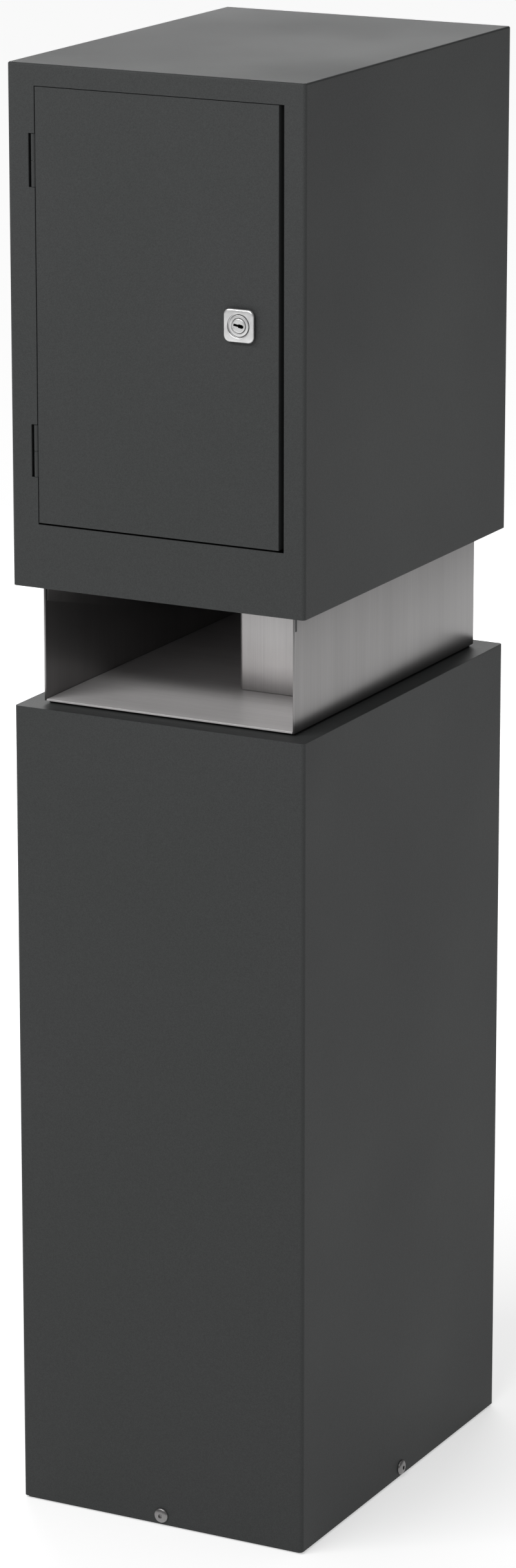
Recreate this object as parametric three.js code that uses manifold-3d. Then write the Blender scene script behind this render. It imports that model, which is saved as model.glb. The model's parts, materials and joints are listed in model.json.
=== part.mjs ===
// Free-standing single mailbox: a painted steel column, a stainless newspaper
// section with an open hand recess, and a painted mail cabinet with a lockable
// door at the front and a letter flap at the rear.
//
// Millimetres, +Z up. The origin is on the ground under the middle of the
// column. The door faces -Y and +X is to the right of someone facing the door.

import * as THREE from 'three';
import { mergeVertices } from 'three/addons/utils/BufferGeometryUtils.js';
import Module from 'manifold-3d';

const wasm = await Module();
wasm.setup();

// ---- driving dimensions ----------------------------------------------------

const WIDTH = 250;               // outside of the column and of the cabinet
const DEPTH = 350;
const HEIGHT = 1150;
const COLUMN_TOP = 655;          // where the stainless section starts
const CABINET_BASE = 750;        // where the cabinet starts

const SHEET = 1.5;               // all folded sheet
const BEND = 3;                  // outside radius of a fold
const FIT = 0.3;                 // gap between neighbouring pieces

const BASE_GAP = 1.5;            // column walls stop short of the ground
const BASE_PLATE = 3;            // thickness of the ground plate
const BASE_TAB = { width: 40, height: 18 };
const BASE_SCREW_Z = 8.5;
const BASE_SCREW_HOLE = 2.8;
const ANCHOR = { x: 85, y: 135, radius: 5.5 };

const JOINT = 1.8;               // dark joint between the column and the section
const GASKET_INSET = 2;
const INSET = 17;                // stainless section set in from the painted faces
const PARTITION_X = 12;          // right wall of the newspaper tube
const PARTITION_Y = -64;         // back of the hand recess
const LUG = { y: -156.3, length: 2, height: 14 };

// Bolts that join the three sections, as x and y.
const COLUMN_BOLTS = [[-10, 40], [80, -35], [-80, 130], [80, 130]];
const CABINET_BOLTS = [[-80, -110], [80, -110], [-80, 130], [80, 130]];
const BOLT_HOLE = 3.4;

const DOOR = { left: -101.3, right: 103.2, height: 332, middle: 967, depth: 17 };
const DOOR_GAP = { left: 0.7, right: 4.3, bottom: 1.4, top: 0.5 };
const STOP = { side: 108.5, back: 23, lap: 12.5 };    // ring behind the front face
const HINGE = {
  x: -103.5, y: -173.5, offset: 110.6, half: 20,      // axis, and the half length of each
  radius: 1.9, bore: 1.2, pin: 1, leaf: 1.2, slot: 1.8,
};
const LOCK = { x: 71.6, rise: 1.3, plate: 25, proud: 4, body: 8.2, plug: 5.4, running: 0.4 };
const CAM = { width: 14, length: 38, thickness: 2.5, front: 24.5, square: 6 };
const LOCK_NUT = { flats: 24, thickness: 5 };
const BUFFER = { x: 103, offset: 133, radius: 4, height: 3.9 };

const SLOT = { half: 115, bottom: 1085, top: 1117 };
const FLAP = { half: 117, axis: 1124, bottom: 1074, knuckle: 1.85, bore: 1.4, pin: 1.15 };
const BRACKET = { gap: 0.6, width: 4, half: 4 };
const BAFFLE = { half: 118, rise: 4.5, flange: 16.5, reach: 44.2, drop: 33.5 };
const REAR_FOLD = 15;

const halfW = WIDTH / 2;
const halfD = DEPTH / 2;
const sectionX = halfW - INSET;
const sectionY = halfD - INSET;
const sectionH = CABINET_BASE - COLUMN_TOP;
const cabinetH = HEIGHT - CABINET_BASE;

// ---- materials -------------------------------------------------------------

function metal(color, roughness, metalness) {
  return () => new THREE.MeshStandardMaterial({ color, roughness, metalness });
}

const paint = metal(0x45474a, 0.6, 0.0);
const stainless = metal(0xb4b2b0, 0.35, 1.0);
const zinc = metal(0x9a9c9e, 0.45, 1.0);
const chrome = metal(0xd6d6d6, 0.15, 1.0);
const rubber = metal(0x1c1c1c, 0.9, 0.0);

// ---- solids ----------------------------------------------------------------

// A closed three.js geometry as a manifold solid that can be cut and joined.
function solid(geometry) {
  const bare = geometry.clone();
  bare.deleteAttribute('normal');
  bare.deleteAttribute('uv');
  const merged = mergeVertices(bare, 1e-4);
  return new wasm.Manifold(new wasm.Mesh({
    numProp: 3,
    vertProperties: new Float32Array(merged.attributes.position.array),
    triVerts: new Uint32Array(merged.index.array),
  }));
}

function geometryOf(body) {
  const mesh = body.getMesh();
  const geometry = new THREE.BufferGeometry();
  geometry.setAttribute('position', new THREE.BufferAttribute(mesh.vertProperties, 3));
  geometry.setIndex(new THREE.BufferAttribute(mesh.triVerts, 1));
  return geometry;
}

function block(x0, x1, y0, y1, z0, z1) {
  const box = new THREE.BoxGeometry(x1 - x0, y1 - y0, z1 - z0);
  return solid(box.translate((x0 + x1) / 2, (y0 + y1) / 2, (z0 + z1) / 2));
}

function extrude(shape, length) {
  return new THREE.ExtrudeGeometry(shape, {
    depth: length, bevelEnabled: false, curveSegments: 5,
  });
}

// An outline in X and Y, raised from z0 to z1.
function prismZ(shape, z0, z1) {
  return solid(extrude(shape, z1 - z0).translate(0, 0, z0));
}

// An outline in X and Z, carried from y0 to y1.
function prismY(shape, y0, y1) {
  return solid(extrude(shape, y1 - y0).rotateX(Math.PI / 2).translate(0, y1, 0));
}

// An outline in Y and Z, carried from x0 to x1.
function prismX(shape, x0, x1) {
  const turn = new THREE.Matrix4().makeBasis(
    new THREE.Vector3(0, 1, 0), new THREE.Vector3(0, 0, 1), new THREE.Vector3(1, 0, 0));
  return solid(extrude(shape, x1 - x0).applyMatrix4(turn).translate(x0, 0, 0));
}

// A round rod along Z, centred on x, y.
function rodZ(radius, z0, z1, x = 0, y = 0, sides = 20) {
  const rod = new THREE.CylinderGeometry(radius, radius, z1 - z0, sides).rotateX(Math.PI / 2);
  return solid(rod.translate(x, y, (z0 + z1) / 2));
}

// A round rod along Y, centred on x, z.
function rodY(radius, y0, y1, x = 0, z = 0, sides = 20) {
  const rod = new THREE.CylinderGeometry(radius, radius, y1 - y0, sides);
  return solid(rod.translate(x, (y0 + y1) / 2, z));
}

// A round rod along X, centred on y, z.
function rodX(radius, x0, x1, y = 0, z = 0, sides = 16) {
  const rod = new THREE.CylinderGeometry(radius, radius, x1 - x0, sides).rotateZ(Math.PI / 2);
  return solid(rod.translate((x0 + x1) / 2, y, z));
}

// A rectangle whose corners at y0 and at y1 may each be rounded.
function rectangle(x0, x1, y0, y1, near = 0, far = near) {
  const quarter = Math.PI / 2;
  const shape = new THREE.Shape();
  const corner = (x, y, radius, turn) => {
    if (radius === 0) {
      shape.lineTo(x, y);
      return;
    }
    const inX = x === x0 ? x + radius : x - radius;
    const inY = y === y0 ? y + radius : y - radius;
    shape.absarc(inX, inY, radius, turn * quarter, (turn + 1) * quarter);
  };
  shape.moveTo(x0 + near, y0);
  corner(x1, y0, near, -1);
  corner(x1, y1, far, 0);
  corner(x0, y1, far, 1);
  corner(x0, y0, near, 2);
  return shape;
}

function polygon(points) {
  return new THREE.Shape(points.map(([x, y]) => new THREE.Vector2(x, y)));
}

// A regular hexagon, across flats.
function hexagon(flats) {
  const corner = flats / Math.sqrt(3);
  const points = [0, 1, 2, 3, 4, 5].map((i) => {
    const angle = (i * Math.PI) / 3;
    return [corner * Math.cos(angle), corner * Math.sin(angle)];
  });
  return polygon(points);
}

// A profile of radius and height, turned about Z.
function turned(points, sides) {
  const profile = points.map(([r, z]) => new THREE.Vector2(r, z));
  return solid(new THREE.LatheGeometry(profile, sides).rotateX(Math.PI / 2));
}

// Two side walls joined by a front or a rear wall: near and far are the outside
// radii of the folds at y0 and at y1, and 0 leaves that end open.
function channel(half, y0, y1, near, far, z0, z1) {
  const t = SHEET;
  const outer = rectangle(-half, half, y0, y1, near, far);
  const inner = rectangle(t - half, half - t, near ? y0 + t : y0 - 1, far ? y1 - t : y1 + 1,
    near && near - t, far && far - t);
  return prismZ(outer, z0, z1).subtract(prismZ(inner, z0 - 1, z1 + 1));
}

// ---- fasteners -------------------------------------------------------------

// A button-head screw along Z: the head's bearing face is at z = 0.
function screw({ shank, length, head, rise, socket, sides }) {
  const body = turned([
    [0, -length], [shank, -length], [shank, 0], [head, 0],
    [head, rise * 0.25], [head * 0.86, rise * 0.66], [head * 0.6, rise * 0.92], [0, rise],
  ], sides);
  const drive = prismZ(hexagon(socket), rise * 0.35, rise + 1);
  return geometryOf(body.subtract(drive));
}

// A hexagon nut along Z: its bearing face is at z = 0 and it lies below.
function nut({ flats, thickness, bore }) {
  const body = prismZ(hexagon(flats), -thickness, 0);
  return geometryOf(body.subtract(rodZ(bore, -thickness - 1, 1, 0, 0, 12)));
}

const baseScrew = screw({ shank: 2.5, length: 12, head: 6, rise: 2.4, socket: 3, sides: 20 });
const joinBolt = screw({ shank: 3, length: 10, head: 5.6, rise: 3, socket: 4, sides: 12 });
const camBolt = screw({ shank: 1.5, length: 8, head: 5, rise: 2.4, socket: 2.5, sides: 12 });
const baseNut = nut({ flats: 8, thickness: 4, bore: 2.7 });
const joinNut = nut({ flats: 10, thickness: 5, bore: 3.25 });

// ---- assembly --------------------------------------------------------------

const mailbox = new THREE.Group();

function group(parent, x = 0, y = 0, z = 0) {
  const child = new THREE.Group();
  child.position.set(x, y, z);
  parent.add(child);
  return child;
}

function piece(parent, name, shape, material) {
  const geometry = shape.isBufferGeometry ? shape : geometryOf(shape);
  const mesh = new THREE.Mesh(geometry, material());
  mesh.name = name;
  parent.add(mesh);
  return mesh;
}

// ---- column ----------------------------------------------------------------

const column = group(mailbox);

// Each side's name, its outward direction and the half size that way.
const SIDES = [
  ['front', new THREE.Vector3(0, -1, 0), halfD],
  ['right', new THREE.Vector3(1, 0, 0), halfW],
  ['rear', new THREE.Vector3(0, 1, 0), halfD],
  ['left', new THREE.Vector3(-1, 0, 0), halfW],
];

// The holes of the four base screws, right through the column both ways.
function crossHoles() {
  const across = rodX(BASE_SCREW_HOLE, -halfW - 1, halfW + 1, 0, BASE_SCREW_Z, 20);
  return across.add(rodY(BASE_SCREW_HOLE, -halfD - 1, halfD + 1, 0, BASE_SCREW_Z));
}

function boltHoles(body, bolts) {
  const hole = ([x, y]) => rodZ(BOLT_HOLE, -HEIGHT, HEIGHT, x, y, 12);
  return bolts.reduce((cut, bolt) => cut.subtract(hole(bolt)), body);
}

function columnShell() {
  const outer = rectangle(-halfW, halfW, -halfD, halfD, BEND);
  const inner = rectangle(SHEET - halfW, halfW - SHEET, SHEET - halfD, halfD - SHEET, BEND - SHEET);
  const can = prismZ(outer, BASE_GAP, COLUMN_TOP).subtract(prismZ(inner, 0, COLUMN_TOP - SHEET));
  return boltHoles(can.subtract(crossHoles()), COLUMN_BOLTS);
}

function basePlate() {
  const x = halfW - SHEET - FIT;
  const y = halfD - SHEET - FIT;
  const w = BASE_TAB.width / 2;
  const top = BASE_TAB.height;
  let plate = prismZ(rectangle(-x, x, -y, y, BEND), 0, BASE_PLATE);
  for (const s of [-1, 1]) {
    const [x0, x1] = [s * x, s * (x - BASE_PLATE)].sort((a, b) => a - b);
    const [y0, y1] = [s * y, s * (y - BASE_PLATE)].sort((a, b) => a - b);
    plate = plate.add(block(x0, x1, -w, w, 0, top)).add(block(-w, w, y0, y1, 0, top));
    for (const t of [-1, 1]) {
      plate = plate.subtract(rodZ(ANCHOR.radius, -1, BASE_PLATE + 1, s * ANCHOR.x, t * ANCHOR.y));
    }
  }
  return plate.subtract(crossHoles());
}

piece(column, 'column_shell', columnShell(), paint);
piece(column, 'base_plate', basePlate(), paint);

for (const [side, outward, reach] of SIDES) {
  const up = new THREE.Vector3(0, 0, 1);
  const head = piece(column, `base_screw_${side}`, baseScrew, stainless);
  const back = piece(column, `base_nut_${side}`, baseNut, zinc);
  const inside = reach - SHEET - FIT - BASE_PLATE - FIT;
  head.position.copy(outward).multiplyScalar(reach + FIT).setZ(BASE_SCREW_Z);
  back.position.copy(outward).multiplyScalar(inside).setZ(BASE_SCREW_Z);
  head.quaternion.setFromUnitVectors(up, outward);
  back.quaternion.setFromUnitVectors(up, outward);
}

// ---- newspaper section -----------------------------------------------------

const section = group(mailbox, 0, 0, COLUMN_TOP);
const innerX = sectionX - SHEET - FIT;
const innerY = sectionY - SHEET - FIT;
const floorTop = JOINT + SHEET;
const roofBottom = sectionH - FIT - SHEET;

// Left, rear and right walls from one strip, slit at the front for the
// cabinet's locating lugs.
function newspaperWrap() {
  const walls = channel(sectionX, -sectionY, sectionY, 0, BEND, JOINT, sectionH - FIT);
  const slit = block(-halfW, halfW, LUG.y - FIT, LUG.y + LUG.length + FIT,
    sectionH - LUG.height - FIT, sectionH);
  return walls.subtract(slit);
}

function newspaperPlate(z0, bolts) {
  const outline = rectangle(-innerX, innerX, -sectionY, innerY, 0, BEND - SHEET);
  return boltHoles(prismZ(outline, z0, z0 + SHEET), bolts);
}

// The back of the hand recess and the right wall of the newspaper tube.
function newspaperPartition() {
  const [x, y, q] = [PARTITION_X, PARTITION_Y, Math.PI / 2];
  const shape = new THREE.Shape();
  shape.moveTo(innerX, y);
  shape.lineTo(innerX, y + SHEET);
  shape.lineTo(x + BEND, y + SHEET);
  shape.absarc(x + BEND, y + BEND, BEND - SHEET, -q, -2 * q, true);
  shape.lineTo(x + SHEET, innerY);
  shape.lineTo(x, innerY);
  shape.lineTo(x, y + BEND);
  shape.absarc(x + BEND, y + BEND, BEND, -2 * q, -q);
  return prismZ(shape, floorTop + FIT, roofBottom - FIT);
}

// A rubber sheet that lifts the stainless section off the painted column.
function sectionGasket() {
  const [x, y] = [sectionX - GASKET_INSET, sectionY - GASKET_INSET];
  return boltHoles(prismZ(rectangle(-x, x, -y, y, BEND), FIT, JOINT - FIT), COLUMN_BOLTS);
}

piece(section, 'section_gasket', sectionGasket(), rubber);
piece(section, 'newspaper_wrap', newspaperWrap(), stainless);
piece(section, 'newspaper_floor', newspaperPlate(JOINT, COLUMN_BOLTS), stainless);
piece(section, 'newspaper_roof', newspaperPlate(roofBottom, CABINET_BOLTS), stainless);
piece(section, 'newspaper_partition', newspaperPartition(), stainless);

// Bolts from above and nuts from below through two stacked plates.
function join(name, bolts, bearing, under) {
  bolts.forEach(([x, y], i) => {
    piece(section, `${name}_bolt_${i + 1}`, joinBolt, zinc).position.set(x, y, bearing);
    piece(section, `${name}_nut_${i + 1}`, joinNut, zinc).position.set(x, y, under);
  });
}

join('column', COLUMN_BOLTS, floorTop + FIT, -SHEET - FIT);
join('cabinet', CABINET_BOLTS, sectionH + FIT + SHEET + FIT, roofBottom - FIT);

// ---- cabinet ---------------------------------------------------------------

const cabinet = group(mailbox, 0, 0, CABINET_BASE);
const doorMiddle = DOOR.middle - CABINET_BASE;
const doorBottom = doorMiddle - DOOR.height / 2;
const doorTop = doorMiddle + DOOR.height / 2;
const opening = {
  x0: DOOR.left - DOOR_GAP.left,
  x1: DOOR.right + DOOR_GAP.right,
  z0: doorBottom - DOOR_GAP.bottom,
  z1: doorTop + DOOR_GAP.top,
};

// Front face, sides and top, with the door opening and a slot beside each hinge.
function cabinetShell() {
  const walls = channel(halfW, -halfD, halfD, BEND, 0, 0, cabinetH);
  const top = prismZ(rectangle(-halfW, halfW, -halfD, halfD, BEND, 0), cabinetH - SHEET, cabinetH);
  const front = [-halfD - 1, -halfD + SHEET + 1];
  let shell = walls.add(top);
  shell = shell.subtract(block(opening.x0, opening.x1, ...front, opening.z0, opening.z1));
  for (const s of [-1, 1]) {
    const z = doorMiddle + s * HINGE.offset;
    const reach = HINGE.half + FIT;
    const left = HINGE.x - HINGE.radius - HINGE.slot;
    shell = shell.subtract(block(left, opening.x0 + 1, ...front, z - reach, z + reach));
  }
  return shell;
}

// The cabinet's floor, with two lugs that drop into the stainless walls.
function cabinetFloor() {
  const x = halfW - SHEET - FIT;
  const y = halfD - SHEET - FIT;
  let plate = prismZ(rectangle(-x, x, -y, y, BEND - SHEET, 0), FIT, FIT + SHEET);
  plate = boltHoles(plate, CABINET_BOLTS);
  const lugIn = sectionX - SHEET;
  for (const s of [-1, 1]) {
    const [x0, x1] = [s * lugIn, s * sectionX].sort((a, b) => a - b);
    plate = plate.add(block(x0, x1, LUG.y, LUG.y + LUG.length, -LUG.height, FIT + SHEET));
  }
  return plate;
}

// The folded ring that the door closes against.
function doorStop() {
  const { side, lap } = STOP;
  const [z0, z1] = [opening.z0 - 2, opening.z1 + 2];
  const back = -halfD + STOP.back;
  const frontFace = -halfD + SHEET + FIT;
  const t = SHEET;
  const outer = block(-side - t, side + t, frontFace, back, z0 - t, z1 + t);
  const pocket = block(-side, side, frontFace - 1, back - t, z0, z1);
  const way = block(lap - side, side - lap, frontFace, back + 1, z0 + lap, z1 - lap);
  return outer.subtract(pocket).subtract(way);
}

function buffer(z) {
  const back = -halfD + STOP.back - SHEET - FIT;
  return rodY(BUFFER.radius, back - BUFFER.height, back, BUFFER.x, z, 16);
}

// The rear panel with its folded edges and the letter opening.
function rearPanel() {
  const x = halfW - SHEET - FIT;
  const [z0, z1] = [FIT, cabinetH - SHEET - FIT];
  const front = halfD - REAR_FOLD;
  const back = halfD - SHEET;
  const pan = block(-x, x, front, halfD, z0, z1);
  const hollow = block(SHEET - x, x - SHEET, front - 1, back, z0 - 1, z1 - SHEET);
  const aboveFloor = block(-halfW, halfW, 0, back, z0 - 1, 2 * FIT + SHEET);
  const slot = block(-SLOT.half, SLOT.half, 0, DEPTH, SLOT.bottom - CABINET_BASE,
    SLOT.top - CABINET_BASE);
  return pan.subtract(hollow).subtract(aboveFloor).subtract(slot);
}

// A sheet behind the letter opening that stops a hand reaching down: a flange
// on the rear panel, folded once to slope inwards.
function baffle() {
  const { half, rise, flange, reach, drop } = BAFFLE;
  const weld = halfD - SHEET - FIT;
  const fold = SLOT.top - CABINET_BASE + rise;
  const slope = Math.hypot(reach, drop);
  const inside = fold + (SHEET * (slope - drop)) / reach;
  const [out, up] = [(SHEET * drop) / slope, (SHEET * reach) / slope];
  const shape = polygon([
    [weld - SHEET, fold + flange], [weld - SHEET, inside],
    [weld - reach - out, fold - drop + up], [weld - reach, fold - drop],
    [weld, fold], [weld, fold + flange],
  ]);
  return prismX(shape, -half, half);
}

piece(cabinet, 'cabinet_shell', cabinetShell(), paint);
piece(cabinet, 'cabinet_floor', cabinetFloor(), paint);
piece(cabinet, 'rear_panel', rearPanel(), paint);
piece(cabinet, 'anti_theft_baffle', baffle(), paint);
piece(cabinet, 'door_stop_frame', doorStop(), paint);
piece(cabinet, 'door_buffer_top', buffer(doorMiddle + BUFFER.offset), rubber);
piece(cabinet, 'door_buffer_bottom', buffer(doorMiddle - BUFFER.offset), rubber);

// ---- hinges ----------------------------------------------------------------

// A knuckle with a leaf that runs back beside it; side is -1 for the leaf on
// the frame and +1 for the leaf on the door. The pin's axis is x = y = 0.
function hingeLeaf(side, z0, z1, length) {
  const [x0, x1] = [side * (HINGE.radius - HINGE.leaf), side * HINGE.radius].sort((a, b) => a - b);
  const knuckle = rodZ(HINGE.radius, z0, z1, 0, 0, 16);
  const leaf = block(x0, x1, 0, length, z0, z1);
  return knuckle.add(leaf).subtract(rodZ(HINGE.bore, z0 - 1, z1 + 1, 0, 0, 16));
}

// The frame's leaf is thickened at its end to reach the door stop's side wall.
function frameLeaf(z0, z1) {
  const wall = FIT - STOP.side - HINGE.x;
  const foot = block(wall, HINGE.leaf - HINGE.radius, 8, 16, z0, z1);
  return hingeLeaf(-1, z0, z1, 16).add(foot);
}

const door = group(cabinet, HINGE.x, HINGE.y, doorMiddle);

for (const [place, s] of [['top', 1], ['bottom', -1]]) {
  const z = s * HINGE.offset;
  const fixed = group(cabinet, HINGE.x, HINGE.y, doorMiddle + z);
  const end = HINGE.half;
  const pin = rodZ(HINGE.pin, 0.5 - end, end - 0.5, 0, 0, 16);
  piece(fixed, `hinge_frame_leaf_${place}`, frameLeaf(-end, -FIT), paint);
  piece(fixed, `hinge_pin_${place}`, pin, zinc);
  const leaf = piece(door, `hinge_door_leaf_${place}`, hingeLeaf(1, 0, end, 13), paint);
  leaf.position.z = z;
}

// ---- door ------------------------------------------------------------------

const doorLeft = DOOR.left - HINGE.x;
const doorRight = DOOR.right - HINGE.x;
const doorFront = -halfD - HINGE.y;
const lockX = LOCK.x - HINGE.x;

// The door's folded pan, with the lock's hole.
function doorPanel() {
  const [h, t] = [DOOR.height / 2, SHEET];
  const pan = block(doorLeft, doorRight, doorFront, doorFront + DOOR.depth, -h, h);
  const hollow = block(doorLeft + t, doorRight - t, doorFront + t, doorFront + DOOR.depth + 1,
    t - h, h - t);
  const bore = LOCK.body + LOCK.running;
  const hole = rodY(bore, doorFront - 1, doorFront + t + 1, lockX, LOCK.rise);
  return pan.subtract(hollow).subtract(hole);
}

piece(door, 'door_panel', doorPanel(), paint);

// ---- lock ------------------------------------------------------------------

// The lock's own axis is x = z = 0 and y = 0 is the door's outside face.
const lock = group(door, lockX, doorFront, LOCK.rise);

// A square plate with round corners and a stepped edge.
function lockRosette() {
  const [corner, edge] = [5, 0.8];
  const h = LOCK.plate / 2;
  const inner = h - edge;
  const front = -LOCK.proud;
  const base = prismY(rectangle(-h, h, -h, h, corner), front + 1, -FIT);
  const rim = prismY(rectangle(-inner, inner, -inner, inner, corner - edge), front, -FIT);
  return base.add(rim).subtract(rodY(LOCK.body + LOCK.running, front - 1, 1));
}

const housingEnd = CAM.front - 0.4;

function lockHousing() {
  const tube = rodY(LOCK.body, 0.5 - LOCK.proud, housingEnd);
  return tube.subtract(rodY(LOCK.plug + 0.25, -DEPTH, DEPTH));
}

// Key slot in front, square tail behind.
function lockPlug() {
  const key = { half: 3.9, thick: 1.1, depth: 9 };
  const square = CAM.square / 2;
  const front = 0.2 - LOCK.proud;
  const body = rodY(LOCK.plug, front, housingEnd);
  const tail = block(-square, square, 0, CAM.front + CAM.thickness - 0.2, -square, square);
  const slot = block(-key.half, key.half, front - 1, front + key.depth, -key.thick, key.thick);
  const thread = rodY(1.8, CAM.front - 8, CAM.front + 9, 0, 0, 12);
  return body.add(tail).subtract(slot).subtract(thread);
}

// The cam hangs down and turns to the right, behind the door stop.
function lockCam() {
  const half = CAM.width / 2;
  const shape = new THREE.Shape();
  shape.moveTo(half, 0);
  shape.absarc(0, 0, half, 0, Math.PI);
  shape.lineTo(-half, -CAM.length + half);
  shape.absarc(0, -CAM.length + half, half, Math.PI, 2 * Math.PI);
  const bar = prismY(shape, CAM.front, CAM.front + CAM.thickness);
  const hole = CAM.square / 2 + 0.2;
  return bar.subtract(block(-hole, hole, 0, DEPTH, -hole, hole));
}

function lockNut() {
  const front = SHEET + FIT;
  const body = prismY(hexagon(LOCK_NUT.flats), front, front + LOCK_NUT.thickness);
  return body.subtract(rodY(LOCK.body + LOCK.running, 0, DEPTH));
}

piece(lock, 'lock_rosette', lockRosette(), chrome);
piece(lock, 'lock_housing', lockHousing(), chrome);
piece(lock, 'lock_nut', lockNut(), zinc);

const lockCylinder = group(lock);
piece(lockCylinder, 'lock_plug', lockPlug(), chrome);
piece(lockCylinder, 'lock_cam', lockCam(), zinc);
const camScrew = piece(lockCylinder, 'cam_screw', camBolt, zinc);
camScrew.rotation.x = -Math.PI / 2;
camScrew.position.y = CAM.front + CAM.thickness + FIT;

// ---- letter flap -----------------------------------------------------------

// The pin's axis is y = z = 0; the flap hangs below it over the opening.
const flapAxisY = halfD + LOCK.proud - FLAP.knuckle;
const flapGroup = group(cabinet, 0, flapAxisY, FLAP.axis - CABINET_BASE);

function letterFlap() {
  const inside = -FLAP.knuckle + 0.1;
  const plate = block(-FLAP.half, FLAP.half, inside, inside + SHEET, FLAP.bottom - FLAP.axis, 0);
  const knuckle = rodX(FLAP.knuckle, -FLAP.half, FLAP.half);
  return plate.add(knuckle).subtract(rodX(FLAP.bore, -WIDTH, WIDTH));
}

function flapBracket(side) {
  const near = FLAP.half + BRACKET.gap;
  const [x0, x1] = [side * near, side * (near + BRACKET.width)].sort((a, b) => a - b);
  const lug = block(x0, x1, -FLAP.knuckle, FLAP.knuckle, -BRACKET.half, BRACKET.half);
  return lug.subtract(rodX(FLAP.bore, x0 - 1, x1 + 1));
}

piece(flapGroup, 'letter_flap', letterFlap(), paint);
piece(flapGroup, 'flap_bracket_left', flapBracket(-1), paint);
piece(flapGroup, 'flap_bracket_right', flapBracket(1), paint);
const pinEnd = FLAP.half + BRACKET.gap + BRACKET.width - 0.2;
piece(flapGroup, 'flap_pin', rodX(FLAP.pin, -pinEnd, pinEnd), stainless);

export default mailbox;
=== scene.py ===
"""The looks of the pedestal mailbox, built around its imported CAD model.

Metres, +Z up, the door faces -Y. Some CAD nodes keep their shape and get
rounded edges by modifiers. The painted shells, the lock, the fasteners, the
buffers and the letter flap are rebuilt here in more detail, inside the space
that their CAD nodes hold. Every material is procedural.
"""

import json
import math

import bmesh
import bpy
from mathutils import Matrix, Vector


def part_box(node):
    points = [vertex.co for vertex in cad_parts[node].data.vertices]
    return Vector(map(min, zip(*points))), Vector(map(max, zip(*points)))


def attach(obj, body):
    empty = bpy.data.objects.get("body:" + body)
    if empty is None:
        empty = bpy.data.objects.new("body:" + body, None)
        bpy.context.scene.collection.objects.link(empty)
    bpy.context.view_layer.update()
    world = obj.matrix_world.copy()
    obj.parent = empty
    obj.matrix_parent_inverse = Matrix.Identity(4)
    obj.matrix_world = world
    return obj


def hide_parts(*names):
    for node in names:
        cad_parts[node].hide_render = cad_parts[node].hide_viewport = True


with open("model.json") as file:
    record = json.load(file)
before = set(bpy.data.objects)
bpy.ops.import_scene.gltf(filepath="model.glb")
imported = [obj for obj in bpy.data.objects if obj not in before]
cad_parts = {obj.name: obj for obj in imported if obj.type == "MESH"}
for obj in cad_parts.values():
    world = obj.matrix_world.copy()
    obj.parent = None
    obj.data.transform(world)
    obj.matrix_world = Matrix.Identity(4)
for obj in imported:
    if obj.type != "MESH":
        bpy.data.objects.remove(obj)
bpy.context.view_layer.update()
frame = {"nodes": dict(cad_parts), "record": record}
nodes = frame["nodes"]
record = frame["record"]

MM = 0.001


# ---- camera ----------------------------------------------------------------

# Fitted to the object's corners in the photograph, with the CAD sizes held fixed.
CAMERA_PLACE = Vector((1.9079, -3.6703, 1.7206))
CAMERA_YAW = math.radians(27.53)
CAMERA_DOWN = math.radians(15.61)
CAMERA_LENS = 124.84
SENSOR = 36.0


def link(data, name):
    thing = bpy.data.objects.new(name, data)
    bpy.context.scene.collection.objects.link(thing)
    return thing


def make_camera():
    data = bpy.data.cameras.new("camera")
    data.lens = CAMERA_LENS
    data.sensor_width = SENSOR
    data.clip_start = 0.1
    data.clip_end = 400.0
    camera = link(data, "camera")
    camera.location = CAMERA_PLACE
    camera.rotation_euler = (math.pi / 2 - CAMERA_DOWN, 0.0, CAMERA_YAW)
    bpy.context.scene.camera = camera


# ---- light and stage -------------------------------------------------------

TARGET = Vector((0.0, 0.0, 0.65))
STAGE_REACH = 60.0               # half the floor's side
DRUM = {"radius": 58.0, "height": 90.0, "glow": 0.95}


def softbox(name, azimuth, elevation, distance, size, power):
    """A rectangular studio light; azimuth 0 is in front of the door, 90 on its right."""
    turn, rise = math.radians(azimuth), math.radians(elevation)
    flat = math.cos(rise)
    away = Vector((math.sin(turn) * flat, -math.cos(turn) * flat, math.sin(rise)))
    data = bpy.data.lights.new(name, "AREA")
    data.shape = "RECTANGLE"
    data.size, data.size_y = size
    data.energy = power
    lamp = link(data, name)
    lamp.location = TARGET + away * distance
    lamp.rotation_euler = (-away).to_track_quat("-Z", "Y").to_euler()
    lamp.visible_camera = False


def make_light():
    scene = bpy.context.scene
    scene.view_settings.view_transform = "Standard"
    scene.view_settings.look = "None"
    world = bpy.data.worlds.new("studio")
    scene.world = world
    world.use_nodes = True
    background = world.node_tree.nodes["Background"]
    background.inputs["Color"].default_value = (1.0, 1.0, 1.0, 1.0)
    background.inputs["Strength"].default_value = 0.20
    softbox("key", -14.0, 42.0, distance=2.6, size=(2.8, 0.4), power=44.0)
    softbox("overhead", 0.0, 88.0, distance=2.6, size=(2.2, 2.2), power=10.0)
    softbox("backdrop", 207.5, 16.0, distance=3.2, size=(2.4, 1.3), power=37.0)


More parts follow.
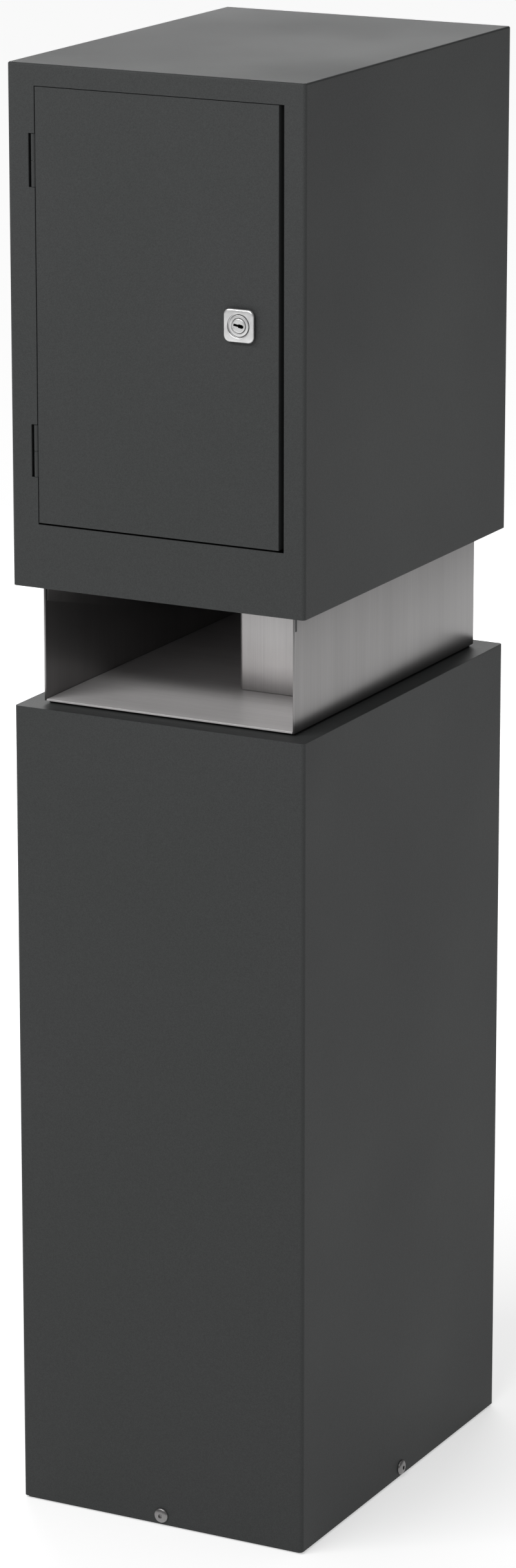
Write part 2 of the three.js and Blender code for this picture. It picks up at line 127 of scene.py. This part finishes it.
def make_backdrop():
    """A white drum round the floor, which the camera sees and which lights nothing."""
    bm = bmesh.new()
    radius = DRUM["radius"]
    bmesh.ops.create_cone(
        bm, cap_ends=False, segments=96, radius1=radius, radius2=radius, depth=DRUM["height"])
    drum = link(mesh_from(bm, "backdrop"), "backdrop")
    paper = Finish("backdrop", 0.0, 0.0)
    paper.shader.inputs["Base Color"].default_value = (0.0, 0.0, 0.0, 1.0)
    paper.shader.inputs["Emission Color"].default_value = (1.0, 1.0, 1.0, 1.0)
    paper.shader.inputs["Emission Strength"].default_value = DRUM["glow"]
    drum.data.materials.append(paper.material)
    for sense in ("diffuse", "glossy", "transmission", "volume_scatter", "shadow"):
        setattr(drum, "visible_" + sense, False)


def make_floor():
    """Pale paper just under the object; its glow grows outwards, to keep the background white."""
    reach, drop = STAGE_REACH, -0.4 * MM
    mesh = bpy.data.meshes.new("floor")
    corners = [(-reach, -reach), (reach, -reach), (reach, reach), (-reach, reach)]
    mesh.from_pydata([(x, y, drop) for x, y in corners], [], [(0, 1, 2, 3)])
    floor = link(mesh, "floor")
    paper = Finish("floor", 0.0, 0.2)
    paper.shader.inputs["Base Color"].default_value = (0.80, 0.80, 0.80, 1.0)
    paper.shader.inputs["Roughness"].default_value = 0.9
    paper.shader.inputs["Emission Color"].default_value = (1.0, 1.0, 1.0, 1.0)
    away = paper.add("ShaderNodeVectorMath", operation="LENGTH")
    paper.join(paper.place, away.inputs[0])
    glow = paper.spread(away.outputs["Value"], 0.52, 0.78, (0.8, 3.0))
    paper.join(glow, paper.shader.inputs["Emission Strength"])
    mesh.materials.append(paper.material)


# ---- materials -------------------------------------------------------------

class Finish:
    """A material with short calls for the nodes that its functions need."""

    def __init__(self, name, metallic, specular=0.5):
        self.material = bpy.data.materials.new(name)
        self.material.use_nodes = True
        self.tree = self.material.node_tree
        self.shader = self.tree.nodes["Principled BSDF"]
        self.shader.inputs["Metallic"].default_value = metallic
        self.shader.inputs["Specular IOR Level"].default_value = specular
        self.place = self.add("ShaderNodeTexCoord").outputs["Object"]

    def add(self, kind, **settings):
        node = self.tree.nodes.new(kind)
        for name, value in settings.items():
            if name in node.bl_rna.properties:
                setattr(node, name, value)
            else:
                node.inputs[name].default_value = value
        return node

    def join(self, source, target):
        self.tree.links.new(source, target)

    def noise(self, scale, detail=2.0, stretch=(1.0, 1.0, 1.0), roughness=0.5):
        mapping = self.add("ShaderNodeMapping", Scale=stretch)
        self.join(self.place, mapping.inputs["Vector"])
        texture = self.add("ShaderNodeTexNoise", Scale=scale, Detail=detail, Roughness=roughness)
        self.join(mapping.outputs["Vector"], texture.inputs["Vector"])
        return texture.outputs["Fac"]

    def cells(self, scale):
        texture = self.add("ShaderNodeTexVoronoi", Scale=scale)
        self.join(self.place, texture.inputs["Vector"])
        return texture.outputs["Color"]

    def ramp(self, factor, *stops):
        node = self.add("ShaderNodeValToRGB")
        line = node.color_ramp.elements
        while len(line) < len(stops):
            line.new(1.0)
        for stop, (place, colour) in zip(line, stops):
            stop.position = place
            stop.color = (*colour, 1.0)
        self.join(factor, node.inputs["Fac"])
        return node.outputs["Color"]

    def blend(self, factor, first, second, mode="MIX"):
        node = self.add("ShaderNodeMix", data_type="RGBA", blend_type=mode)
        sockets = (node.inputs[0], node.inputs[6], node.inputs[7])
        for value, socket in zip((factor, first, second), sockets):
            if isinstance(value, (int, float)):
                socket.default_value = value
            else:
                self.join(value, socket)
        return node.outputs[2]

    def spread(self, factor, low, high, ends=(0.3, 0.7)):
        node = self.add("ShaderNodeMapRange")
        node.inputs["From Min"].default_value = ends[0]
        node.inputs["From Max"].default_value = ends[1]
        node.inputs["To Min"].default_value = low
        node.inputs["To Max"].default_value = high
        self.join(factor, node.inputs["Value"])
        return node.outputs["Result"]

    def bump(self, *layers):
        """Each layer is a height and its depth in metres."""
        normal = None
        for height, depth in layers:
            node = self.add("ShaderNodeBump", Strength=1.0, Distance=depth)
            self.join(height, node.inputs["Height"])
            if normal is not None:
                self.join(normal, node.inputs["Normal"])
            normal = node.outputs["Normal"]
        self.join(normal, self.shader.inputs["Normal"])

    def brushed(self, grain, amount):
        """Spreads highlights across the grain, as fine scratches along an axis do."""
        across = self.add("ShaderNodeVectorMath", operation="CROSS_PRODUCT")
        self.join(self.add("ShaderNodeNewGeometry").outputs["Normal"], across.inputs[0])
        across.inputs[1].default_value = [float(axis == grain) for axis in range(3)]
        self.join(across.outputs[0], self.shader.inputs["Tangent"])
        self.shader.inputs["Anisotropic"].default_value = amount

    def colour(self, socket):
        self.join(socket, self.shader.inputs["Base Color"])

    def roughness(self, socket):
        self.join(socket, self.shader.inputs["Roughness"])


def grey(value, warm=0.0):
    return (value * (1 + warm), value, value * (1 - warm))


def powder_coat():
    """Anthracite paint with a fine grain and a faint unevenness."""
    finish = Finish("powder_coat", 0.0, 0.20)
    grain = finish.noise(1500.0, 3.0)
    peel = finish.noise(240.0, 2.0)
    cloud = finish.noise(5.0, 3.0)
    dark = finish.ramp(grain, (0.30, (0.029, 0.031, 0.0305)), (0.72, (0.043, 0.0455, 0.045)))
    pale = finish.ramp(grain, (0.30, (0.032, 0.033, 0.0335)), (0.72, (0.047, 0.049, 0.0495)))
    finish.colour(finish.blend(finish.spread(cloud, 0.0, 1.0), dark, pale))
    finish.roughness(finish.spread(cloud, 0.52, 0.60))
    finish.bump((peel, 0.05 * MM), (grain, 0.03 * MM))
    return finish.material


def brushed_stainless(name, grain, metallic, tint, matt, amount):
    """Stainless sheet brushed along one axis: 0 is X and 2 is Z. tint is its brightness,
    matt its roughness, and amount how far highlights spread across the grain."""
    finish = Finish(name, metallic)
    stretch = [1.0, 1.0, 1.0]
    stretch[grain] = 0.008
    line = finish.noise(1400.0, 4.0, stretch, 0.6)
    band = finish.noise(60.0, 3.0, stretch)
    cloud = finish.noise(9.0, 2.0)
    low, high = tint * 0.94, tint * 1.06
    tone = finish.ramp(
        line, (0.30, (low, low * 0.975, low * 0.975)), (0.70, (high, high * 0.98, high * 0.975)))
    shade = finish.ramp(band, (0.30, grey(0.92)), (0.70, grey(1.0)))
    finish.colour(finish.blend(1.0, tone, shade, "MULTIPLY"))
    fine = finish.spread(line, matt - 0.03, matt + 0.03)
    broad = finish.spread(cloud, matt - 0.02, matt + 0.02)
    finish.roughness(finish.blend(0.5, fine, broad))
    finish.bump((line, 0.01 * MM))
    finish.brushed(grain, amount)
    return finish.material


def zinc_plate():
    """Bright zinc with a faint mottle and a trace of yellow."""
    finish = Finish("zinc_plate", 1.0)
    fleck = finish.cells(900.0)
    cloud = finish.noise(160.0, 3.0)
    tone = finish.ramp(cloud, (0.32, (0.40, 0.41, 0.42)), (0.68, (0.56, 0.56, 0.54)))
    shade = finish.ramp(fleck, (0.0, grey(0.86)), (1.0, grey(1.0)))
    finish.colour(finish.blend(0.6, tone, shade, "MULTIPLY"))
    finish.roughness(finish.spread(cloud, 0.28, 0.46))
    finish.bump((cloud, 0.02 * MM))
    return finish.material


def satin_chrome():
    """Plated zinc casting, smooth with a soft unevenness."""
    finish = Finish("satin_chrome", 0.9)
    cloud = finish.noise(220.0, 2.0)
    line = finish.noise(2600.0, 2.0)
    finish.colour(finish.ramp(cloud, (0.3, grey(0.58)), (0.7, grey(0.68))))
    finish.roughness(finish.spread(line, 0.30, 0.42))
    finish.bump((cloud, 0.012 * MM), (line, 0.004 * MM))
    return finish.material


def keyway_painted_shade():
    """Near-black steel for the keyway's deep faces: painted shade in the recess."""
    finish = Finish("keyway_painted_shade", 0.6, 0.3)
    cloud = finish.noise(500.0, 2.0)
    finish.colour(finish.ramp(cloud, (0.3, grey(0.010)), (0.7, grey(0.022))))
    finish.roughness(finish.spread(cloud, 0.5, 0.65))
    finish.bump((cloud, 0.01 * MM))
    return finish.material


def black_rubber():
    finish = Finish("black_rubber", 0.0, 0.4)
    grain = finish.noise(1800.0, 3.0)
    cloud = finish.noise(40.0, 2.0)
    finish.colour(finish.ramp(cloud, (0.3, grey(0.012)), (0.7, grey(0.022))))
    finish.roughness(finish.spread(grain, 0.70, 0.88))
    finish.bump((grain, 0.04 * MM))
    return finish.material


# Three tints of one brushed stainless. The wrap's dark copy is painted shade for the newspaper
# compartment. The lighter copies, one for the partition and one for the floor, roof and flap pin, are
# painted light.
STAINLESS_UP_PAINTED_SHADE = brushed_stainless(
    "stainless_upright_painted_shade", grain=2, metallic=0.95, tint=0.26, matt=0.36, amount=0.4)
STAINLESS_UP_PAINTED_LIGHT = brushed_stainless(
    "stainless_upright_painted_light", grain=2, metallic=0.9, tint=0.56, matt=0.42, amount=0.3)
STAINLESS_ACROSS_PAINTED_LIGHT = brushed_stainless(
    "stainless_across_painted_light", grain=0, metallic=0.75, tint=0.74, matt=0.44, amount=0.75)
FINISHES = {
    "painted_steel": powder_coat(),
    "stainless_steel": STAINLESS_UP_PAINTED_SHADE,
    "zinc_plated_steel": zinc_plate(),
    "chromed_zinc": satin_chrome(),
    "black_rubber": black_rubber(),
}
SLOTS = {part["node"]: part["material_slot"] for part in record["subparts"]}
BODIES = {
    node: body for body, members in record["behaviour"]["bodies"].items() for node in members
}


# ---- building pieces -------------------------------------------------------

def centre(node):
    low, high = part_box(node)
    return (low + high) / 2


SMOOTH = math.radians(32.0)      # sharper edges than this stay sharp


def hand_over(mesh, name, stands_for):
    """Makes mesh a piece that takes over a CAD node's body, slot and place."""
    mesh.shade_smooth()
    mesh.set_sharp_from_angle(angle=SMOOTH)
    piece = link(mesh, name)
    slot = SLOTS[stands_for]
    if not mesh.materials:
        mesh.materials.append(FINISHES[slot])
    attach(piece, BODIES[stands_for])
    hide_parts(stands_for)
    return piece


def mesh_from(bm, name):
    bmesh.ops.recalc_face_normals(bm, faces=bm.faces)
    mesh = bpy.data.meshes.new(name)
    bm.to_mesh(mesh)
    bm.free()
    return mesh


def circle(radius):
    return lambda angle: radius


def rounded_square(half, corner):
    """The reach of a square with round corners, by angle."""
    inner = half - corner

    def reach(angle):
        across, along = sorted((abs(math.cos(angle)), abs(math.sin(angle))))
        if half * across <= inner * along:
            return half / along
        middle = inner * (across + along)
        return middle + math.sqrt(middle * middle - 2 * inner * inner + corner * corner)

    return reach


def hexagon(inside, cap=math.inf):
    """The reach of a hexagon with corners turned off at the radius cap."""
    sixth = math.pi / 3

    def reach(angle):
        off = (angle + sixth / 2) % sixth - sixth / 2
        return min(inside / math.cos(off), cap)

    return reach


def turned(rows, closed=False, steps=48):
    """A solid of revolution whose rows are an outline, or 0 for the axis, and a height."""
    bm = bmesh.new()
    rings = []
    for outline, height in rows:
        if outline == 0:
            rings.append([bm.verts.new((0.0, 0.0, height))] * steps)
            continue
        ring = []
        for i in range(steps):
            angle = 2 * math.pi * i / steps
            reach = outline(angle)
            ring.append(bm.verts.new((reach * math.cos(angle), reach * math.sin(angle), height)))
        rings.append(ring)
    pairs = list(zip(rings, rings[1:]))
    if closed:
        pairs.append((rings[-1], rings[0]))
    for lower, upper in pairs:
        for i in range(steps):
            j = (i + 1) % steps
            corners = dict.fromkeys((lower[i], lower[j], upper[j], upper[i]))
            if len(corners) > 2:
                bm.faces.new(corners)
    return bm


def threads(radius, start, end, pitch, depth=0.5):
    """Rows for a thread's ridges between two heights; depth is a share of the pitch."""
    rows = []
    count = max(1, round(abs(end - start) / pitch))
    for i in range(count):
        at = start + (end - start) * i / count
        step = (end - start) / count
        rows += [
            (circle(radius - depth * pitch), at + step * 0.1),
            (circle(radius), at + step * 0.45),
            (circle(radius), at + step * 0.65),
        ]
    return rows


def placed(bm, place, outward):
    """Turns +Z to outward and moves the origin to place."""
    turn = Vector((0.0, 0.0, 1.0)).rotation_difference(Vector(outward)).to_matrix().to_4x4()
    bm.transform(Matrix.Translation(place) @ turn)
    return bm


def swept(outline, x0, x1):
    """An outline of Y and Z points carried along X."""
    bm = bmesh.new()
    ends = [[bm.verts.new((x, y, z)) for y, z in outline] for x in (x0, x1)]
    count = len(outline)
    for i in range(count):
        j = (i + 1) % count
        bm.faces.new((ends[0][i], ends[0][j], ends[1][j], ends[1][i]))
    bm.faces.new(ends[0])
    bm.faces.new(ends[1])
    return bm


def arc(middle, radius, start, end, steps):
    """Points on an arc, angles in degrees."""
    points = []
    for i in range(steps + 1):
        angle = math.radians(start + (end - start) * i / steps)
        points.append((middle[0] + radius * math.cos(angle), middle[1] + radius * math.sin(angle)))
    return points


def cut(mesh, cutter, name):
    """The mesh with the cutter's shape taken out of it."""
    body, tool = link(mesh, name + "_body"), link(cutter, name + "_tool")
    boolean = body.modifiers.new("cut", "BOOLEAN")
    boolean.object = tool
    boolean.solver = "EXACT"
    result = bpy.data.meshes.new_from_object(
        body.evaluated_get(bpy.context.evaluated_depsgraph_get()))
    for thing in (body, tool):
        bpy.data.objects.remove(thing)
    result.name = name
    return result


# ---- CAD nodes that keep their shape ---------------------------------------

EDGE = 0.2 * MM
MERGE = 0.005 * MM
FLAT = math.radians(0.5)         # faces closer in angle than this are one face
CURVED = (
    "newspaper_wrap", "newspaper_partition", "lock_cam",
    "flap_pin", "hinge_pin_top", "hinge_pin_bottom",
    "hinge_frame_leaf_top", "hinge_frame_leaf_bottom", "hinge_door_leaf_top", "hinge_door_leaf_bottom",
)


def soften(node, width):
    """Rounds a CAD node's edges and smooths its curved faces by modifiers."""
    weld = node.modifiers.new("weld", "WELD")
    weld.merge_threshold = MERGE
    flat = node.modifiers.new("flat", "DECIMATE")
    flat.decimate_type = "DISSOLVE"
    flat.angle_limit = FLAT
    bevel = node.modifiers.new("edges", "BEVEL")
    bevel.width = width
    bevel.segments = 2
    bevel.limit_method = "ANGLE"
    bevel.angle_limit = math.radians(40.0)
    if node.name in CURVED:
        node.data.shade_smooth()
        node.data.set_sharp_from_angle(angle=SMOOTH)
    else:
        node.data.shade_flat()


def finish_nodes():
    for name, node in nodes.items():
        node.data.materials.clear()
        node.data.materials.append(FINISHES[SLOTS[name]])
    # The floor, roof, flap pin and partition get lighter copies of the stainless as painted light; the
    # wrap keeps the dark copy, as painted shade.
    for name in ("newspaper_floor", "newspaper_roof", "flap_pin"):
        nodes[name].data.materials[0] = STAINLESS_ACROSS_PAINTED_LIGHT
    nodes["newspaper_partition"].data.materials[0] = STAINLESS_UP_PAINTED_LIGHT


# ---- painted shells --------------------------------------------------------

FOLD = 2.4 * MM                  # radius of a shell's top folds
DOOR_EDGE = 0.25 * MM
NEAR = 0.05 * MM                 # how close to a face counts as on it


def refined(node, rules):
    """A copy of a CAD node with its edges rounded. A rule is a test of an edge's two
    ends, a radius and a number of segments; edges that fit no rule get EDGE."""
    bm = bmesh.new()
    bm.from_mesh(nodes[node].data)
    bmesh.ops.remove_doubles(bm, verts=bm.verts, dist=MERGE)
    bmesh.ops.dissolve_limit(
        bm, angle_limit=FLAT, verts=bm.verts, edges=bm.edges, use_dissolve_boundaries=False)
    for test, radius, segments in [*rules, (lambda a, b: True, EDGE, 2)]:
        sharp = []
        for edge in bm.edges:
            if edge.is_manifold and edge.calc_face_angle(0.0) > math.radians(60.0):
                if test(edge.verts[0].co, edge.verts[1].co):
                    sharp.append(edge)
        if sharp:
            bmesh.ops.bevel(
                bm, geom=sharp, offset=radius, segments=segments, profile=0.5,
                affect="EDGES", clamp_overlap=True, loop_slide=True)
    piece = hand_over(mesh_from(bm, node), node + "_skin", node)
    normals = piece.modifiers.new("normals", "WEIGHTED_NORMAL")
    normals.keep_sharp = True


def make_shells():
    """The cabinet's rear edge is bare sheet, thinner than a fold's radius, so it isn't folded."""
    for name, folded_rear in (("cabinet_shell", False), ("column_shell", True)):
        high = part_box(name)[1] - Vector((NEAR, NEAR, NEAR))

        def top_fold(a, b, high=high, folded_rear=folded_rear):
            rear = a.y > high.y and b.y > high.y
            return a.z > high.z and b.z > high.z and (folded_rear or not rear)

        refined(name, [(top_fold, FOLD, 5)])
    low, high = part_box("door_panel")
    face = low.y + NEAR
    hole = centre("lock_rosette")
    reach = 14.0 * MM

    def outer_front(a, b):
        near_lock = max(abs(a.x - hole.x), abs(a.z - hole.z)) < reach
        return a.y < face and b.y < face and not near_lock

    refined("door_panel", [(outer_front, DOOR_EDGE, 3)])


# ---- fasteners -------------------------------------------------------------

def button_screw(node, outward, bearing, shank, head, rise, length, socket):
    """A button-head screw with a hexagon socket; bearing is under the head's middle."""
    rows = [(0, -length), (circle(shank * 0.7), -length)]
    rows += threads(shank, -length + 0.4 * MM, -1.2 * MM, 0.8 * MM)
    rows += [(circle(shank), -0.9 * MM), (circle(shank), 0.0), (circle(head - 0.15 * MM), 0.0)]
    rows.append((circle(head), 0.15 * MM))
    for part in range(7):
        swing = math.radians(14 + part * 10)
        rows.append((circle(head * math.cos(swing) ** 0.9), rise * (0.12 + 0.88 * math.sin(swing))))
    rim = socket / 2
    rows += [
        (circle(rim * 1.22), rise), (hexagon(rim, rim * 1.14), rise - 0.12 * MM),
        (hexagon(rim), rise * 0.9), (hexagon(rim), rise * 0.34), (0, rise * 0.2),
    ]
    bm = placed(turned(rows), bearing, outward)
    hand_over(mesh_from(bm, node), node + "_turned", node)


def hex_nut(node, outward, bearing, flats, thickness, bore):
    """A nut with turned corners and a threaded bore; it lies behind its bearing face."""
    half, cap = flats / 2, flats / 2 * 1.02
    rows = [(circle(bore + 0.5 * MM), -thickness)]
    rows += [(hexagon(half, cap), -thickness), (hexagon(half), -thickness * 0.86)]
    rows += [(hexagon(half), -thickness * 0.14), (hexagon(half, cap), 0.0)]
    rows += [(circle(bore + 0.5 * MM), 0.0)]
    rows += threads(bore + 0.35 * MM, -0.3 * MM, -thickness + 0.3 * MM, 0.8 * MM, 0.4)
    bm = placed(turned(rows, closed=True), bearing, outward)
    hand_over(mesh_from(bm, node), node + "_turned", node)


BASE_SCREW = {
    "shank": 2.5 * MM, "head": 6 * MM, "rise": 2.4 * MM, "length": 12 * MM, "socket": 3 * MM}
BASE_NUT = {"flats": 8 * MM, "thickness": 4 * MM, "bore": 2.7 * MM}
JOIN_BOLT = {
    "shank": 3 * MM, "head": 5.6 * MM, "rise": 3 * MM, "length": 10 * MM, "socket": 4 * MM}
JOIN_NUT = {"flats": 10 * MM, "thickness": 5 * MM, "bore": 3.25 * MM}
CAM_SCREW = {
    "shank": 1.5 * MM, "head": 5 * MM, "rise": 2.4 * MM, "length": 8 * MM, "socket": 2.5 * MM}
SIDES = {"front": (0, -1, 0), "right": (1, 0, 0), "rear": (0, 1, 0), "left": (-1, 0, 0)}


def make_fasteners():
    for side, way in SIDES.items():
        outward = Vector(way)
        screw, nut = "base_screw_" + side, "base_nut_" + side
        low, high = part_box(screw)
        far = high if max(way) > 0 else low
        middle = centre(screw)
        top = Vector([far[i] if way[i] else middle[i] for i in range(3)])
        button_screw(screw, outward, top - outward * BASE_SCREW["rise"], **BASE_SCREW)
        low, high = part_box(nut)
        middle = centre(nut)
        near = high if max(way) > 0 else low
        seat = Vector([near[i] if way[i] else middle[i] for i in range(3)])
        hex_nut(nut, outward, seat, **BASE_NUT)
    up = Vector((0.0, 0.0, 1.0))
    for joint in ("column", "cabinet"):
        for number in range(1, 5):
            bolt, nut = f"{joint}_bolt_{number}", f"{joint}_nut_{number}"
            place = centre(bolt)
            place.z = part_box(bolt)[1].z - JOIN_BOLT["rise"]
            button_screw(bolt, up, place, **JOIN_BOLT)
            place = centre(nut)
            place.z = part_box(nut)[1].z
            hex_nut(nut, up, place, **JOIN_NUT)
    place = centre("cam_screw")
    place.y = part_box("cam_screw")[1].y - CAM_SCREW["rise"]
    button_screw("cam_screw", Vector((0, 1, 0)), place, **CAM_SCREW)


# ---- lock ------------------------------------------------------------------

OUT = Vector((0.0, -1.0, 0.0))
KEY_TILT = math.radians(10.0)
# The keyway's two cuts: middle, length and width. Half of KEYWAY_CUT is its depth.
KEYWAY = ((0.0, 8.4 * MM, 1.8 * MM), (1.6 * MM, 3.6 * MM, 2.8 * MM))
KEYWAY_CUT = 16 * MM
LOCK_HOLE = 8.6 * MM             # through the plate and the nut, as a radius
CORE_BORE = 5.65 * MM            # through the barrel


def make_lock():
    axis = centre("lock_rosette")
    low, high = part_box("lock_rosette")
    face = Vector((axis.x, high.y + 0.3 * MM, axis.z))
    half, hole = (high.x - low.x) / 2, LOCK_HOLE
    proud = face.y - low.y
    rows = [
        (circle(hole), 0.3 * MM), (rounded_square(half - 1.8 * MM, 3.6 * MM), 0.3 * MM),
        (rounded_square(half - 1.8 * MM, 3.6 * MM), proud * 0.45),
        (rounded_square(half - 0.3 * MM, 4.6 * MM), proud * 0.45),
        (rounded_square(half, 4.8 * MM), proud * 0.52),
        (rounded_square(half, 4.8 * MM), proud * 0.72),
        (rounded_square(half - 0.25 * MM, 4.7 * MM), proud * 0.86),
        (rounded_square(half - 0.7 * MM, 4.5 * MM), proud * 0.95),
        (rounded_square(half - 1.4 * MM, 4.2 * MM), proud),
        (circle(9.6 * MM), proud), (circle(9.3 * MM), proud - 0.2 * MM),
        (circle(9.2 * MM), proud - 1.6 * MM), (circle(hole), proud - 1.7 * MM),
    ]
    plate = placed(turned(rows, closed=True, steps=96), face, OUT)
    hand_over(mesh_from(plate, "lock_rosette"), "lock_plate", "lock_rosette")

    low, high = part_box("lock_housing")
    front, back = face.y - low.y, face.y - high.y
    outer, bore = (high.x - low.x) / 2, CORE_BORE
    rows = [(circle(bore), back), (circle(outer - 0.8 * MM), back)]
    rows += threads(outer, back + 0.4 * MM, -0.6 * MM, 1.0 * MM, 0.45)
    rows += [
        (circle(outer), 0.0), (circle(outer), front - 0.7 * MM),
        (circle(outer - 0.2 * MM), front - 0.2 * MM), (circle(outer - 0.7 * MM), front),
        (circle(bore + 0.8 * MM), front), (circle(bore + 0.1 * MM), front - 0.6 * MM),
        (circle(bore), front - 0.9 * MM),
    ]
    barrel = placed(turned(rows, closed=True, steps=64), face, OUT)
    hand_over(mesh_from(barrel, "lock_housing"), "lock_barrel", "lock_housing")

    low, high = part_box("lock_plug")
    front, back = face.y - low.y, face.y - high.y
    core = (high.x - low.x) / 2
    shoulder = -(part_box("lock_housing")[1].y - face.y)
    square = rounded_square(3.0 * MM, 0.5 * MM)
    rows = [
        (0, back + 0.2 * MM), (circle(1.9 * MM), back), (square, back), (square, shoulder),
        (circle(core - 0.3 * MM), shoulder), (circle(core), shoulder + 0.3 * MM),
        (circle(core), front - 0.7 * MM), (circle(core - 0.2 * MM), front - 0.25 * MM),
        (circle(core - 0.7 * MM), front), (circle(core - 1.0 * MM), front),
        (circle(core - 1.3 * MM), front - 0.25 * MM), (0, front - 0.35 * MM),
    ]
    plug = mesh_from(turned(rows), "lock_plug")
    for middle, length, width in KEYWAY:
        slot = bmesh.new()
        bmesh.ops.create_cube(slot, size=1.0)
        slot.transform(Matrix.Diagonal((length, width, KEYWAY_CUT, 1.0)))
        slot.transform(Matrix.Translation((middle, 0.0, front)))
        plug = cut(plug, mesh_from(slot, "slot"), "lock_plug")
    plug.materials.clear()
    plug.materials.append(FINISHES["chromed_zinc"])
    plug.materials.append(keyway_painted_shade())
    # The keyway's inner faces take the near-black material: painted shade deep in the slot.
    for polygon in plug.polygons:
        x, y, z = polygon.center
        if abs(x) < 4.3 * MM and abs(y) < 1.5 * MM and front - 9 * MM < z < front - 0.4 * MM:
            polygon.material_index = 1
    turn = Matrix.Rotation(math.pi / 2, 4, "X")
    tilt = Matrix.Rotation(-KEY_TILT, 4, "Z")
    plug.transform(Matrix.Translation(face) @ turn @ tilt)
    hand_over(plug, "lock_core", "lock_plug")

    low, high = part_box("lock_nut")
    flats = min(high.x - low.x, high.z - low.z)
    seat = Vector((axis.x, low.y, axis.z))
    cap = flats / 2 * 1.03
    depth = high.y - low.y
    rows = [
        (circle(8.9 * MM), 0.0), (hexagon(flats / 2, cap), 0.0), (hexagon(flats / 2), 0.7 * MM),
        (hexagon(flats / 2), depth - 0.7 * MM), (hexagon(flats / 2, cap), depth),
        (circle(9.0 * MM), depth), (circle(LOCK_HOLE), depth - 0.4 * MM),
        (circle(LOCK_HOLE), 0.4 * MM),
    ]
    nut = placed(turned(rows, closed=True, steps=96), seat, -OUT)
    hand_over(mesh_from(nut, "lock_nut"), "lock_ring_nut", "lock_nut")


# ---- buffers and flap ------------------------------------------------------

def make_buffers():
    for place in ("top", "bottom"):
        node = "door_buffer_" + place
        low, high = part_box(node)
        radius, height = (high.x - low.x) / 2, high.y - low.y
        rows = [(0, 0.0), (circle(radius * 0.92), 0.0), (circle(radius), height * 0.1)]
        rows += [(circle(radius), height * 0.42), (circle(radius * 0.93), height * 0.5)]
        for part in range(5):
            swing = math.radians(part * 20 + 8)
            rise = height * (0.5 + 0.5 * math.sin(swing))
            rows.append((circle(radius * 0.93 * math.cos(swing)), rise))
        rows.append((0, height))
        seat = Vector((centre(node).x, high.y, centre(node).z))
        bm = placed(turned(rows), seat, OUT)
        hand_over(mesh_from(bm, node), node + "_dome", node)


def make_flap():
    """A sheet rolled round its pin at the top, with a folded grip along the bottom."""
    low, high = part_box("letter_flap")
    pin = centre("flap_pin")
    knuckle, bore = high.y - pin.y - 0.02 * MM, 1.4 * MM
    sheet = 1.5 * MM
    inner = low.y
    lip = high.y - inner
    outline = arc((pin.y, pin.z), knuckle, -112, 180, 20)
    outline += [(inner, pin.z - 2.2 * MM), (inner, low.z + 1.2 * MM)]
    outline += arc((inner + 1.2 * MM, low.z + 1.2 * MM), 1.2 * MM, 190, 270, 4)
    outline += arc((inner + lip - 1.2 * MM, low.z + 1.2 * MM), 1.2 * MM, -90, 20, 5)
    outline += arc((inner + lip - 0.75 * MM, low.z + 6 * MM), 0.75 * MM, 0, 150, 5)
    outline += [(inner + sheet, low.z + 9 * MM)]
    mesh = mesh_from(swept(outline, low.x, high.x), "letter_flap")
    drill = mesh_from(placed(turned([
        (0, low.x - 5 * MM), (circle(bore), low.x - 5 * MM), (circle(bore), high.x + 5 * MM),
        (0, high.x + 5 * MM)]), Vector((0.0, pin.y, pin.z)), Vector((1, 0, 0))), "drill")
    hand_over(cut(mesh, drill, "letter_flap"), "letter_flap_rolled", "letter_flap")


make_camera()
make_light()
make_floor()
make_backdrop()
finish_nodes()
make_shells()
make_fasteners()
make_lock()
make_buffers()
make_flap()

# How far each kept node's edges are rounded, in millimetres.
KEPT = {
    "newspaper_wrap": 0.3, "newspaper_floor": 0.3, "newspaper_roof": 0.3,
    "newspaper_partition": 0.3,
    "section_gasket": 0.2, "base_plate": 0.4, "cabinet_floor": 0.4, "rear_panel": 0.5,
    "anti_theft_baffle": 0.4, "door_stop_frame": 0.4, "lock_cam": 0.4,
    "hinge_frame_leaf_top": 0.2, "hinge_frame_leaf_bottom": 0.2, "hinge_door_leaf_top": 0.2,
    "hinge_door_leaf_bottom": 0.2, "hinge_pin_top": 0.25, "hinge_pin_bottom": 0.25,
    "flap_bracket_left": 0.15, "flap_bracket_right": 0.15, "flap_pin": 0.2,
}
for name, width in KEPT.items():
    soften(nodes[name], width * MM)
